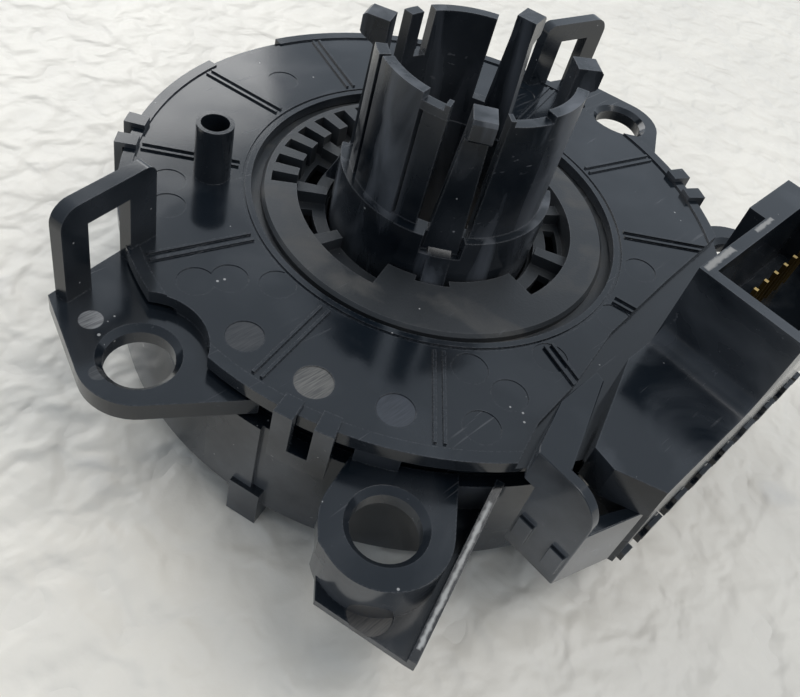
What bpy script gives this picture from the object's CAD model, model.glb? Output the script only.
import bpy
import bmesh
import math
from mathutils import Euler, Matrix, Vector


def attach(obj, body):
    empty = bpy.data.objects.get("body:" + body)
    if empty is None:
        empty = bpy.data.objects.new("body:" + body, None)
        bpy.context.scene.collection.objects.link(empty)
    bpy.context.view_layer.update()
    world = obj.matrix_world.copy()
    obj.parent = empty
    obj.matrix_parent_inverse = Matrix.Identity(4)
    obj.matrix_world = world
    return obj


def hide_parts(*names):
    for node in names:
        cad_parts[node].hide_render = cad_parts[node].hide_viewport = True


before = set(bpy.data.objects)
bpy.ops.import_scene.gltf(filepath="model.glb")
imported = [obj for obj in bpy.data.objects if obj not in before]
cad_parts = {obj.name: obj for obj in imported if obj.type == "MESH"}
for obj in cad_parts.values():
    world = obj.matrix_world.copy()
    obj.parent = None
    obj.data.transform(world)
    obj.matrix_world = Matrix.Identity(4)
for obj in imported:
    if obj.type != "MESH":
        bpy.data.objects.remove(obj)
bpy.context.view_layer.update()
print("packed model loaded:", len(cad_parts), "nodes")

mm = 0.001
scene = bpy.context.scene
scene.view_settings.view_transform = "Standard"


def inMetres(point):
    return [c * mm for c in point]


def link(tree, outSocket, inSocket):
    tree.links.new(outSocket, inSocket)


# links a socket, or types in any other value
def feed(tree, inSocket, value):
    if hasattr(value, "is_linked"):
        tree.links.new(value, inSocket)
    else:
        inSocket.default_value = value


# inputs are names with their first values, and every output is a single value
def newGroup(name, inputs, outputs):
    group = bpy.data.node_groups.new(name, "ShaderNodeTree")
    for label, value in inputs.items():
        kind = "NodeSocketVector" if isinstance(value, tuple) else "NodeSocketFloat"
        socket = group.interface.new_socket(label, in_out="INPUT", socket_type=kind)
        socket.default_value = value
    for label in outputs:
        group.interface.new_socket(label, in_out="OUTPUT", socket_type="NodeSocketFloat")
    return group, group.nodes.new("NodeGroupInput"), group.nodes.new("NodeGroupOutput")


def mathNode(tree, operation, a, b=None, clamp=False):
    node = tree.nodes.new("ShaderNodeMath")
    node.operation = operation
    node.use_clamp = clamp
    feed(tree, node.inputs[0], a)
    if b is not None:
        feed(tree, node.inputs[1], b)
    return node.outputs[0]


def vectorNode(tree, operation, a, b):
    node = tree.nodes.new("ShaderNodeVectorMath")
    node.operation = operation
    feed(tree, node.inputs[0], a)
    feed(tree, node.inputs[1], b)
    return node.outputs["Value" if operation in ("DOT_PRODUCT", "DISTANCE") else "Vector"]


def splitNode(tree, vector):
    node = tree.nodes.new("ShaderNodeSeparateXYZ")
    link(tree, vector, node.inputs[0])
    return node.outputs


def rangeNode(tree, value, low, high, toLow=0.0, toHigh=1.0):
    node = tree.nodes.new("ShaderNodeMapRange")
    link(tree, value, node.inputs["Value"])
    node.inputs["From Min"].default_value = low
    node.inputs["From Max"].default_value = high
    node.inputs["To Min"].default_value = toLow
    node.inputs["To Max"].default_value = toHigh
    return node.outputs["Result"]


def noiseNode(tree, where, scale, detail=2.0, distortion=0.0):
    node = tree.nodes.new("ShaderNodeTexNoise")
    node.inputs["Scale"].default_value = scale
    node.inputs["Detail"].default_value = detail
    node.inputs["Distortion"].default_value = distortion
    if where is not None:
        link(tree, where, node.inputs["Vector"])
    return node.outputs["Fac"]


# inputs 6 and 7 and output 2 of the mix node are its colours
def mixColour(tree, factor, a, b):
    node = tree.nodes.new("ShaderNodeMix")
    node.data_type = "RGBA"
    for inSocket, value in ((node.inputs[0], factor), (node.inputs[6], a), (node.inputs[7], b)):
        feed(tree, inSocket, value)
    return node.outputs[2]


def bumpInto(tree, shader, height, strength, depth):
    bump = tree.nodes.new("ShaderNodeBump")
    bump.inputs["Strength"].default_value = strength
    bump.inputs["Distance"].default_value = depth
    link(tree, height, bump.inputs["Height"])
    link(tree, bump.outputs["Normal"], shader.inputs["Normal"])


def newMaterial(name):
    material = bpy.data.materials.new(name)
    material.use_nodes = True
    tree = material.node_tree
    where = tree.nodes.new("ShaderNodeTexCoord").outputs["Object"]
    return material, tree, tree.nodes["Principled BSDF"], where


def place(tree, group, **values):
    node = tree.nodes.new("ShaderNodeGroup")
    node.node_tree = group
    for label, value in values.items():
        node.inputs[label].default_value = value
    return node


origin = (0.0, 0.0, 0.0)

# long thin scuffs left by handling
scuffShape = {
    "stretch": (60, 1400, 1400), "detail": 2.0, "lines": (0.66, 0.72),
    "zoneScale": 90.0, "zoneDetail": 1.0, "zone": (0.5, 0.68),
}


def makeScuffs(shape):
    group, given, made = newGroup(
        "handlingScuffs", {"Position": origin, "Density": 0.5, "Turn": origin}, ["Mask"])
    turned = group.nodes.new("ShaderNodeMapping")
    turned.inputs["Scale"].default_value = shape["stretch"]
    link(group, given.outputs["Position"], turned.inputs["Vector"])
    link(group, given.outputs["Turn"], turned.inputs["Rotation"])
    streaks = noiseNode(group, turned.outputs["Vector"], 1.0, shape["detail"])
    spread = noiseNode(group, given.outputs["Position"], shape["zoneScale"], shape["zoneDetail"])
    lines = rangeNode(group, streaks, *shape["lines"])
    zone = rangeNode(group, spread, *shape["zone"])
    both = mathNode(group, "MULTIPLY", lines, zone)
    link(group, mathNode(group, "MULTIPLY", both, given.outputs["Density"], True), made.inputs["Mask"])
    return group


# broad greyish smears, longer along one axis
smearShape = {"stretch": (60, 60, 60), "detail": 5.0, "distortion": 0.6, "cloud": (0.5, 0.72)}


def makeSmears(shape):
    group, given, made = newGroup(
        "greySmears", {"Position": origin, "Stretch": shape["stretch"], "Amount": 0.3}, ["Mask"])
    spread = vectorNode(group, "MULTIPLY", given.outputs["Position"], given.outputs["Stretch"])
    cloud = noiseNode(group, spread, 1.0, shape["detail"], shape["distortion"])
    smear = rangeNode(group, cloud, *shape["cloud"])
    link(group, mathNode(group, "MULTIPLY", smear, given.outputs["Amount"], True), made.inputs["Mask"])
    return group


# pale specks of dust and lint, and a thin film of it
dustShape = {
    "cells": 520.0, "sizeScale": 150.0, "size": (0.52, 0.75, 0.0, 0.16), "softness": 0.03,
    "filmScale": 45.0, "filmDetail": 6.0, "film": (0.35, 0.75),
}


def makeDust(shape):
    group, given, made = newGroup("dustSpecks", {"Position": origin, "Amount": 0.5}, ["Specks", "Film"])
    cells = group.nodes.new("ShaderNodeTexVoronoi")
    cells.inputs["Scale"].default_value = shape["cells"]
    link(group, given.outputs["Position"], cells.inputs["Vector"])
    size = noiseNode(group, given.outputs["Position"], shape["sizeScale"])
    reach = rangeNode(group, size, *shape["size"])
    near = mathNode(group, "SUBTRACT", reach, cells.outputs["Distance"])
    speck = rangeNode(group, near, 0.0, shape["softness"])
    link(group, mathNode(group, "MULTIPLY", speck, given.outputs["Amount"], True), made.inputs["Specks"])
    cloud = noiseNode(group, given.outputs["Position"], shape["filmScale"], shape["filmDetail"])
    link(group, rangeNode(group, cloud, *shape["film"]), made.inputs["Film"])
    return group


# the slight waviness and grain of a moulded skin
grainShape = {
    "fineScale": 2600.0, "fineDetail": 3.0, "waveScale": 110.0, "waveDetail": 1.0,
    "patchScale": 70.0, "patchDetail": 4.0,
}


def makeGrain(shape):
    group, given, made = newGroup(
        "mouldedGrain", {"Position": origin, "Fine": 0.4, "Wave": 0.5}, ["Height", "Patch"])
    fine, wave, patch = [
        noiseNode(group, given.outputs["Position"], shape[part + "Scale"], shape[part + "Detail"])
        for part in ("fine", "wave", "patch")
    ]
    fineHeight = mathNode(group, "MULTIPLY", fine, given.outputs["Fine"])
    waveHeight = mathNode(group, "MULTIPLY", wave, given.outputs["Wave"])
    link(group, mathNode(group, "ADD", fineHeight, waveHeight), made.inputs["Height"])
    link(group, patch, made.inputs["Patch"])
    return group


# worn line along outer edges, broken up by noise
rubShape = {"radius": 0.5, "samples": 6, "bend": (0.985, 0.86), "breakScale": 300.0, "breaks": (0.4, 0.65)}


def makeEdgeRub(shape):
    group, given, made = newGroup("edgeRub", {"Strength": 0.5}, ["Mask"])
    soft = group.nodes.new("ShaderNodeBevel")
    soft.samples = shape["samples"]
    soft.inputs["Radius"].default_value = shape["radius"] * mm
    plain = group.nodes.new("ShaderNodeNewGeometry")
    bend = vectorNode(group, "DOT_PRODUCT", soft.outputs["Normal"], plain.outputs["Normal"])
    edge = rangeNode(group, bend, *shape["bend"])
    spots = rangeNode(group, noiseNode(group, None, shape["breakScale"]), *shape["breaks"])
    both = mathNode(group, "MULTIPLY", edge, spots)
    link(group, mathNode(group, "MULTIPLY", both, given.outputs["Strength"], True), made.inputs["Mask"])
    return group


# a round patch, 1 inside and 0 outside
patchShape = {"radius": 3.0, "softness": 0.15}


def makePatch(shape):
    group, given, made = newGroup(
        "roundPatch", {"Position": origin, "Centre": origin, "Radius": shape["radius"] * mm}, ["Mask"])
    gap = vectorNode(group, "DISTANCE", given.outputs["Position"], given.outputs["Centre"])
    left = mathNode(group, "SUBTRACT", given.outputs["Radius"], gap)
    link(group, rangeNode(group, left, 0.0, shape["softness"] * mm), made.inputs["Mask"])
    return group


# a worn strip with ragged edges, turned about the upright axis
stripShape = {
    "halfLength": 3.0, "halfWidth": 1.0, "softness": 0.3,
    "raggedScale": 900.0, "ragged": (0.3, 0.7, -0.16, 0.1),
}


def makeWornStrip(shape):
    inputs = {
        "Position": origin, "Centre": origin, "Turn": 0.0,
        "HalfLength": shape["halfLength"] * mm, "HalfWidth": shape["halfWidth"] * mm,
    }
    group, given, made = newGroup("wornStrip", inputs, ["Mask"])
    turned = group.nodes.new("ShaderNodeVectorRotate")
    turned.rotation_type = "Z_AXIS"
    turned.invert = True
    link(group, given.outputs["Position"], turned.inputs["Vector"])
    link(group, given.outputs["Centre"], turned.inputs["Center"])
    link(group, given.outputs["Turn"], turned.inputs["Angle"])
    gap = splitNode(group, vectorNode(group, "SUBTRACT", turned.outputs["Vector"], given.outputs["Centre"]))
    along = mathNode(group, "SUBTRACT", given.outputs["HalfLength"], mathNode(group, "ABSOLUTE", gap[0]))
    across = mathNode(group, "SUBTRACT", given.outputs["HalfWidth"], mathNode(group, "ABSOLUTE", gap[1]))
    low, high, inward, outward = shape["ragged"]
    noise = noiseNode(group, given.outputs["Position"], shape["raggedScale"])
    ragged = rangeNode(group, noise, low, high, inward * mm, outward * mm)
    inside = mathNode(group, "ADD", mathNode(group, "MINIMUM", along, across), ragged)
    link(group, rangeNode(group, inside, 0.0, shape["softness"] * mm), made.inputs["Mask"])
    return group


# 1 on upright walls and 0 on level faces
steepShape = {"upright": (0.75, 0.25)}


def makeSteepWall(shape):
    group, given, made = newGroup("steepWall", {"Strength": 1.0}, ["Mask"])
    parts = splitNode(group, group.nodes.new("ShaderNodeNewGeometry").outputs["Normal"])
    steep = rangeNode(group, mathNode(group, "ABSOLUTE", parts[2]), *shape["upright"])
    link(group, mathNode(group, "MULTIPLY", steep, given.outputs["Strength"]), made.inputs["Mask"])
    return group


scuffs = makeScuffs(scuffShape)
smears = makeSmears(smearShape)
dust = makeDust(dustShape)
grain = makeGrain(grainShape)
edgeRub = makeEdgeRub(rubShape)
roundPatch = makePatch(patchShape)
wornStrip = makeWornStrip(stripShape)
steepWall = makeSteepWall(steepShape)
print("shared node groups built")

patchRange = (0.3, 0.7)                # span of the grain's patches that sets the roughness
hairLook = {                           # brushed lines in a polished mark; turn in degrees, and per mm of x
    "stretch": (300, 5200, 300), "turn": 35, "turnPerMm": 3, "strength": (0.35, 0.65, 0.35, 1.0),
}


def brushedLines(tree, where, look, centre):
    combed = tree.nodes.new("ShaderNodeMapping")
    combed.inputs["Scale"].default_value = look["stretch"]
    turn = look["turn"] + centre[0] * look["turnPerMm"]
    combed.inputs["Rotation"].default_value = (0, 0, math.radians(turn))
    link(tree, where, combed.inputs["Vector"])
    hair = noiseNode(tree, combed.outputs["Vector"], 1.0)
    return rangeNode(tree, hair, *look["strength"])


# black moulded plastic; marks are round and polished, strips are straight and worn, both in mm
def blackPlastic(name, look, marks=(), strips=()):
    material, tree, shader, where = newMaterial(name)
    skin = place(tree, grain, Fine=look["fine"], Wave=look["wave"])
    specks = place(tree, dust, Amount=look["dust"])
    lines = place(tree, scuffs, Density=look["scuffs"], Turn=look["scuffTurn"])
    rub = place(tree, edgeRub, Strength=look["edge"])
    greyed = place(tree, smears, Stretch=look["smearStretch"], Amount=look["smear"])
    for node in (skin, specks, lines, greyed):
        link(tree, where, node.inputs["Position"])
    base = mixColour(tree, skin.outputs["Patch"], look["dark"], look["light"])
    base = mixColour(tree, greyed.outputs["Mask"], base, look["smearColour"])
    worn = mixColour(tree, lines.outputs["Mask"], base, look["scuffColour"])
    edged = mixColour(tree, rub.outputs["Mask"], worn, look["edgeColour"])
    steep = place(tree, steepWall, Strength=look["wallFilm"])
    amount = mathNode(tree, "ADD", steep.outputs["Mask"], look["film"])
    film = mathNode(tree, "MULTIPLY", specks.outputs["Film"], amount)
    filmed = mixColour(tree, film, edged, look["filmColour"])
    colour = mixColour(tree, specks.outputs["Specks"], filmed, look["speckColour"])
    rough = rangeNode(tree, skin.outputs["Patch"], *patchRange, *look["rough"])
    smeared = mathNode(tree, "MULTIPLY", greyed.outputs["Mask"], look["smearRough"])
    rough = mathNode(tree, "ADD", rough, smeared)
    scuffed = mathNode(tree, "MULTIPLY", lines.outputs["Mask"], look["scuffRough"])
    rough = mathNode(tree, "ADD", rough, scuffed, True)
    for mark in marks:
        spot = place(tree, roundPatch, Centre=inMetres(mark["centre"]), Radius=mark["radius"] * mm)
        link(tree, where, spot.inputs["Position"])
        brushed = brushedLines(tree, where, hairLook, mark["centre"])
        strength = mathNode(tree, "MULTIPLY", spot.outputs["Mask"], brushed)
        colour = mixColour(tree, strength, colour, mark["colour"])
        added = mathNode(tree, "MULTIPLY", spot.outputs["Mask"], mark["rough"])
        rough = mathNode(tree, "ADD", rough, added, True)
    for strip in strips:
        band = place(
            tree, wornStrip, Centre=inMetres(strip["centre"]), Turn=math.radians(strip["turn"]),
            HalfLength=strip["halfLength"] * mm, HalfWidth=strip["halfWidth"] * mm)
        link(tree, where, band.inputs["Position"])
        colour = mixColour(tree, band.outputs["Mask"], colour, strip["colour"])
        added = mathNode(tree, "MULTIPLY", band.outputs["Mask"], strip["rough"])
        rough = mathNode(tree, "ADD", rough, added, True)
    link(tree, colour, shader.inputs["Base Color"])
    link(tree, rough, shader.inputs["Roughness"])
    bumpInto(tree, shader, skin.outputs["Height"], look["bump"], look["bumpDepth"] * mm)
    shader.inputs["Specular IOR Level"].default_value = look["specular"]
    return material


def onDisc(radius, angle, height=0.0):
    return (radius * math.cos(math.radians(angle)), radius * math.sin(math.radians(angle)), height)


glossLook = {
    "dark": (0.0016, 0.0034, 0.006, 1), "light": (0.004, 0.007, 0.0105, 1),
    "rough": (0.09, 0.19), "specular": 0.5, "fine": 0.2, "wave": 1.0, "bump": 0.3, "bumpDepth": 0.06,
    "dust": 0.5, "speckColour": (0.55, 0.54, 0.52, 1),
    "film": 0.016, "wallFilm": 0.08, "filmColour": (0.34, 0.355, 0.38, 1),
    "scuffs": 0.5, "scuffTurn": (0.3, 0.9, 0.6), "scuffColour": (0.09, 0.09, 0.095, 1), "scuffRough": 0.2,
    "smear": 0.22, "smearStretch": (70, 70, 70), "smearColour": (0.045, 0.05, 0.058, 1), "smearRough": 0.35,
    "edge": 0.35, "edgeColour": (0.1, 0.1, 0.105, 1),
}

# round ejector marks on the cover: three on the disc, two on the left ear
coverMarks = (
    {"centre": onDisc(45.0, -157), "radius": 2.8, "colour": (0.12, 0.115, 0.105, 1), "rough": 0.25},
    {"centre": onDisc(44.6, -142.5), "radius": 2.7, "colour": (0.035, 0.04, 0.05, 1), "rough": 0.16},
    {"centre": onDisc(44.7, -171.8), "radius": 2.7, "colour": (0.035, 0.035, 0.036, 1), "rough": 0.12},
    {"centre": (-58.2, 8.6, -2.5), "radius": 1.7, "colour": (0.2, 0.2, 0.2, 1), "rough": 0.2},
    {"centre": (-61.9, 0.4, -2.5), "radius": 1.3, "colour": (0.06, 0.06, 0.06, 1), "rough": 0.1},
)
coverPlastic = blackPlastic("coverPlastic", glossLook, coverMarks)

# the case: one mark on the left shelf and the rubbed upper edge of the wing beside it
satinLook = dict(glossLook, rough=(0.1, 0.2), film=0.015, wallFilm=0.34, scuffs=0.6)
caseMarks = (
    {"centre": (-51.0, -42.6, -12.0), "radius": 3.0, "colour": (0.07, 0.065, 0.06, 1), "rough": 0.2},
)
wingStrips = (
    {
        "centre": (-40.6, -46.35, -8.0), "halfLength": 10.2, "halfWidth": 0.42, "turn": 20.3,
        "colour": (0.36, 0.355, 0.34, 1), "rough": 0.12,
    },
)
casePlastic = blackPlastic("casePlastic", satinLook, caseMarks, wingStrips)

# the sockets: two worn lengths of the connector's inner rim
socketLook = dict(
    glossLook, rough=(0.1, 0.2), wallFilm=0.05, scuffs=0.9,
    smear=0.6, smearStretch=(62, 62, 62), smearColour=(0.06, 0.066, 0.075, 1),
)
wornRim = {"turn": 0.0, "colour": (0.22, 0.212, 0.2, 1), "rough": 0.35}
rimStrips = (
    dict(wornRim, centre=(6.8, -42.3, 19.0), halfLength=3.9, halfWidth=0.6),
    dict(wornRim, centre=(20.1, -42.2, 19.0), halfLength=2.8, halfWidth=0.5),
)
socketPlastic = blackPlastic("socketPlastic", socketLook, (), rimStrips)

latchLook = dict(satinLook, wallFilm=0.42)
latchPlastic = blackPlastic("latchPlastic", latchLook)

collarLook = dict(
    glossLook, rough=(0.16, 0.34), film=0.03, wallFilm=0.12, scuffs=1.0, scuffTurn=(0.3, 0.9, 1.5),
    edge=0.85, smear=0.9, smearStretch=(170, 170, 32), smearColour=(0.095, 0.102, 0.115, 1),
)
collarPlastic = blackPlastic("collarPlastic", collarLook)

charcoalLook = dict(
    glossLook, dark=(0.012, 0.014, 0.016, 1), light=(0.022, 0.025, 0.028, 1), rough=(0.36, 0.5),
    fine=1.0, bump=0.5, scuffs=0.9, film=0.05, specular=0.4,
    smear=0.75, smearStretch=(95, 95, 95), smearColour=(0.07, 0.066, 0.059, 1), edge=0.6,
)
ringPlastic = blackPlastic("ringPlastic", charcoalLook)

hubLook = dict(charcoalLook, rough=(0.45, 0.6))
hubPlastic = blackPlastic("hubPlastic", hubLook)


def paleMaterial(name, look):
    material, tree, shader, where = newMaterial(name)
    skin = place(tree, grain, Fine=look["fine"], Wave=look["wave"])
    link(tree, where, skin.inputs["Position"])
    colour = mixColour(tree, skin.outputs["Patch"], look["dark"], look["light"])
    link(tree, colour, shader.inputs["Base Color"])
    rough = rangeNode(tree, skin.outputs["Patch"], *patchRange, *look["rough"])
    link(tree, rough, shader.inputs["Roughness"])
    bumpInto(tree, shader, skin.outputs["Height"], look["bump"], look["bumpDepth"] * mm)
    shader.inputs["Metallic"].default_value = look["metal"]
    return material


goldLook = {
    "dark": (0.38, 0.25, 0.08, 1), "light": (0.6, 0.43, 0.18, 1), "rough": (0.28, 0.45),
    "fine": 0.4, "wave": 0.4, "bump": 0.3, "bumpDepth": 0.05, "metal": 1.0,
}
contactGold = paleMaterial("contactGold", goldLook)

acetalLook = {
    "dark": (0.66, 0.66, 0.62, 1), "light": (0.78, 0.78, 0.74, 1), "rough": (0.35, 0.5),
    "fine": 0.4, "wave": 0.6, "bump": 0.3, "bumpDepth": 0.05, "metal": 0.0,
}
acetal = paleMaterial("acetal", acetalLook)

slideLook = {
    "dark": (0.6, 0.6, 0.57, 1), "light": (0.7, 0.7, 0.67, 1), "rough": (0.25, 0.4),
    "fine": 0.3, "wave": 0.8, "bump": 0.2, "bumpDepth": 0.05, "metal": 0.0,
}
slideFilm = paleMaterial("slideFilm", slideLook)

ribbonLook = {
    "dark": (0.36, 0.17, 0.05, 1), "light": (0.5, 0.26, 0.08, 1), "rough": (0.25, 0.4),
    "fine": 0.3, "wave": 0.6, "bump": 0.2, "bumpDepth": 0.05, "metal": 0.0,
}
ribbonFilm = paleMaterial("ribbonFilm", ribbonLook)
print("materials built")

# moulded nodes are copied and their edges rounded as the mould leaves them: material, body, radius in mm
roundedNodes = {
    "stator_cover": (coverPlastic, "stator", 0.22),
    "stator_case": (casePlastic, "stator", 0.25),
    "socket_housing": (socketPlastic, "stator", 0.45),
    "socket_back_cover": (socketPlastic, "stator", 0.2),
    "latch_cover": (latchPlastic, "stator", 0.3),
    "rotor_ring": (ringPlastic, "rotor", 0.2),
    "column_collar": (collarPlastic, "rotor", 0.25),
    "rotor_hub": (hubPlastic, "rotor", 0.3),
    "wheel_socket_a": (socketPlastic, "rotor", 0.2),
    "wheel_socket_b": (socketPlastic, "rotor", 0.2),
}

# the outer edge of the connector's shoulder has a wider round; corners of its box in mm
wideEdges = {
    "socket_housing": {"low": (-22.5, -58.5, 4.9), "high": (2.5, -47.0, 5.1), "width": 1.5},
}

rounding = {                           # angles in degrees, distances in mm
    "merge": 0.002, "flatAngle": 0.6, "sharpAngle": 28, "bevelAngle": 35, "segments": 2, "wideSegments": 3,
}


def isWide(edge, wide):
    ends = [vert.co / mm for vert in edge.verts]
    return all(wide["low"][k] <= end[k] <= wide["high"][k] for end in ends for k in range(3))


# gives each edge that is rounded its radius as a weight, and returns the largest
def weighEdges(work, edgeRadius, wide, values):
    weights = work.edges.layers.float.new("bevel_weight_edge")
    for edge in work.edges:
        between = edge.calc_face_angle(0.0) if len(edge.link_faces) == 2 else None
        edge.smooth = between is None or between <= math.radians(values["sharpAngle"])
        if between is not None and between > math.radians(values["bevelAngle"]):
            edge[weights] = wide["width"] / edgeRadius if wide and isWide(edge, wide) else 1.0
    largest = max(edge[weights] for edge in work.edges)
    for edge in work.edges:
        edge[weights] /= largest
    return largest


def roundedCopy(nodeName, material, body, edgeRadius, values):
    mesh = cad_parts[nodeName].data.copy()
    mesh.name = nodeName + "Rounded"
    work = bmesh.new()
    work.from_mesh(mesh)
    bmesh.ops.remove_doubles(work, verts=work.verts, dist=values["merge"] * mm)
    flat = math.radians(values["flatAngle"])
    bmesh.ops.dissolve_limit(work, angle_limit=flat, verts=work.verts, edges=work.edges)
    largest = weighEdges(work, edgeRadius, wideEdges.get(nodeName), values)
    for face in work.faces:
        face.smooth = True
    work.to_mesh(mesh)
    work.free()
    mesh.materials.clear()
    mesh.materials.append(material)
    piece = bpy.data.objects.new(nodeName + "Rounded", mesh)
    scene.collection.objects.link(piece)
    bevel = piece.modifiers.new("mouldRadius", "BEVEL")
    bevel.width = edgeRadius * mm * largest
    bevel.segments = values["wideSegments" if largest > 1 else "segments"]
    bevel.limit_method = "WEIGHT"
    bevel.use_clamp_overlap = True
    bevel.harden_normals = True
    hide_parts(nodeName)
    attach(piece, body)


for nodeName, (material, body, edgeRadius) in roundedNodes.items():
    roundedCopy(nodeName, material, body, edgeRadius, rounding)
print("moulded pieces rounded")

# nodes that keep their own mesh
plainNodes = {
    "socket_terminals": contactGold, "wheel_terminals_a": contactGold, "wheel_terminals_b": contactGold,
    "stator_lead_block": hubPlastic, "rotor_lead_block": hubPlastic,
    "upper_slide_sheet": slideFilm, "lower_slide_sheet": slideFilm, "flat_cable": ribbonFilm,
    "roller_carrier": acetal, "turn_roller": acetal,
}
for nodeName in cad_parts:
    if nodeName.startswith("guide_roller"):
        plainNodes[nodeName] = acetal
for nodeName, material in plainNodes.items():
    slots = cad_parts[nodeName].data.materials
    slots.clear()
    slots.append(material)
print("plain pieces finished")

# pale, unevenly trowelled floor; each noise is scale, detail and distortion
floorLook = {
    "level": -28.52, "size": 3000.0, "cells": 24, "roughness": 0.5, "bump": 0.78, "relief": 1.8,
    "light": (0.735, 0.69, 0.61, 1), "dark": (0.67, 0.63, 0.56, 1), "smudge": (0.4, 0.4, 0.41, 1),
    "noises": {
        "broad": (26.0, 4.0, 0.0), "trowel": (75.0, 3.0, 0.35), "lumps": (150.0, 1.5, 0.35),
        "grit": (600.0, 3.0, 0.0), "stain": (38.0, 6.0, 0.0),
    },
    "tone": (0.35, 0.65), "hollows": (0.3, 0.5, 0.05, 0.0),
    "stains": (0.62, 0.72), "stainLumps": (0.5, 0.62), "stainStrength": 0.35,
    "lumpRange": (0.35, 0.85), "heights": {"lumps": 0.6, "grit": 0.05, "trowel": 0.8, "broad": 1.0},
}


def makeFloorPlaster(look):
    material, tree, shader, where = newMaterial("floorPlaster")
    noises = {label: noiseNode(tree, where, *values) for label, values in look["noises"].items()}
    tone = mixColour(tree, rangeNode(tree, noises["broad"], *look["tone"]), look["dark"], look["light"])
    tone = mixColour(tree, rangeNode(tree, noises["lumps"], *look["hollows"]), tone, look["smudge"])
    stain = rangeNode(tree, noises["stain"], *look["stains"])
    stain = mathNode(tree, "MULTIPLY", stain, rangeNode(tree, noises["lumps"], *look["stainLumps"]))
    tone = mixColour(tree, mathNode(tree, "MULTIPLY", stain, look["stainStrength"]), tone, look["smudge"])
    link(tree, tone, shader.inputs["Base Color"])
    shader.inputs["Roughness"].default_value = look["roughness"]
    parts = dict(noises, lumps=rangeNode(tree, noises["lumps"], *look["lumpRange"]))
    height = None
    for label, weight in look["heights"].items():
        part = mathNode(tree, "MULTIPLY", parts[label], weight)
        height = part if height is None else mathNode(tree, "ADD", height, part)
    bumpInto(tree, shader, height, look["bump"], look["relief"] * mm)
    return material


def makeFloor(look):
    work = bmesh.new()
    cells = look["cells"]
    bmesh.ops.create_grid(work, x_segments=cells, y_segments=cells, size=look["size"] * mm / 2)
    mesh = bpy.data.meshes.new("floor")
    work.to_mesh(mesh)
    work.free()
    floor = bpy.data.objects.new("floor", mesh)
    floor.location.z = look["level"] * mm
    scene.collection.objects.link(floor)
    mesh.materials.append(makeFloorPlaster(look))


makeFloor(floorLook)
print("floor laid")

# soft studio light, in metres: a panel overhead and a low window panel beyond the object
lamps = {
    "ceilingPanel": {
        "place": (0.19, -0.28, 0.83), "aim": (0, 0, 0), "size": (0.55, 0.55),
        "power": 4.0, "colour": (1.0, 0.975, 0.94),
    },
    "windowPanel": {
        "place": (0.103, 0.585, 0.29), "aim": (0, 0.02, 0), "size": (0.6, 0.3),
        "power": 2.1, "colour": (1.0, 0.99, 0.97),
    },
}


def makeLamp(name, lamp):
    light = bpy.data.lights.new(name, "AREA")
    light.shape = "RECTANGLE"
    light.size, light.size_y = lamp["size"]
    light.energy = lamp["power"]
    light.color = lamp["colour"]
    holder = bpy.data.objects.new(name, light)
    holder.location = lamp["place"]
    view = Vector(lamp["aim"]) - Vector(lamp["place"])
    holder.rotation_euler = view.to_track_quat("-Z", "Y").to_euler()
    scene.collection.objects.link(holder)


for name, lamp in lamps.items():
    makeLamp(name, lamp)

# an even room, brighter on one side and dim overhead
room = {
    "towards": (0.726, 0.472, 0.5), "spread": (-0.7, 0.75), "overhead": (0.82, 0.9, 1.0, 0.3),
    "bright": (0.88, 0.98, 1.1, 1), "dim": (0.26, 0.31, 0.38, 1), "strength": 0.9,
}


def makeRoom(look):
    world = bpy.data.worlds.new("studio")
    world.use_nodes = True
    tree = world.node_tree
    background = tree.nodes["Background"]
    direction = tree.nodes.new("ShaderNodeTexCoord").outputs["Generated"]
    facing = vectorNode(tree, "DOT_PRODUCT", direction, look["towards"])
    ceiling = rangeNode(tree, splitNode(tree, direction)[2], *look["overhead"])
    amount = mathNode(tree, "MULTIPLY", rangeNode(tree, facing, *look["spread"]), ceiling)
    link(tree, mixColour(tree, amount, look["dim"], look["bright"]), background.inputs["Color"])
    background.inputs["Strength"].default_value = look["strength"]
    scene.world = world


makeRoom(room)
print("lights placed")

cameraValues = {                       # places in mm, turns in degrees
    "place": (-95.170, -62.515, 89.145), "turn": (43.8064, -11.9249, -43.3124),
    "lens": 38.6916, "sensor": 36, "shiftX": 0.00875, "shiftY": -0.066875, "clipStart": 5.0,
}
cameraData = bpy.data.cameras.new("mainCamera")
cameraData.lens = cameraValues["lens"]
cameraData.sensor_width = cameraValues["sensor"]
cameraData.shift_x = cameraValues["shiftX"]
cameraData.shift_y = cameraValues["shiftY"]
cameraData.clip_start = cameraValues["clipStart"] * mm
camera = bpy.data.objects.new("mainCamera", cameraData)
camera.location = inMetres(cameraValues["place"])
camera.rotation_euler = Euler([math.radians(a) for a in cameraValues["turn"]], "XYZ")
scene.collection.objects.link(camera)
scene.camera = camera

print("camera set")
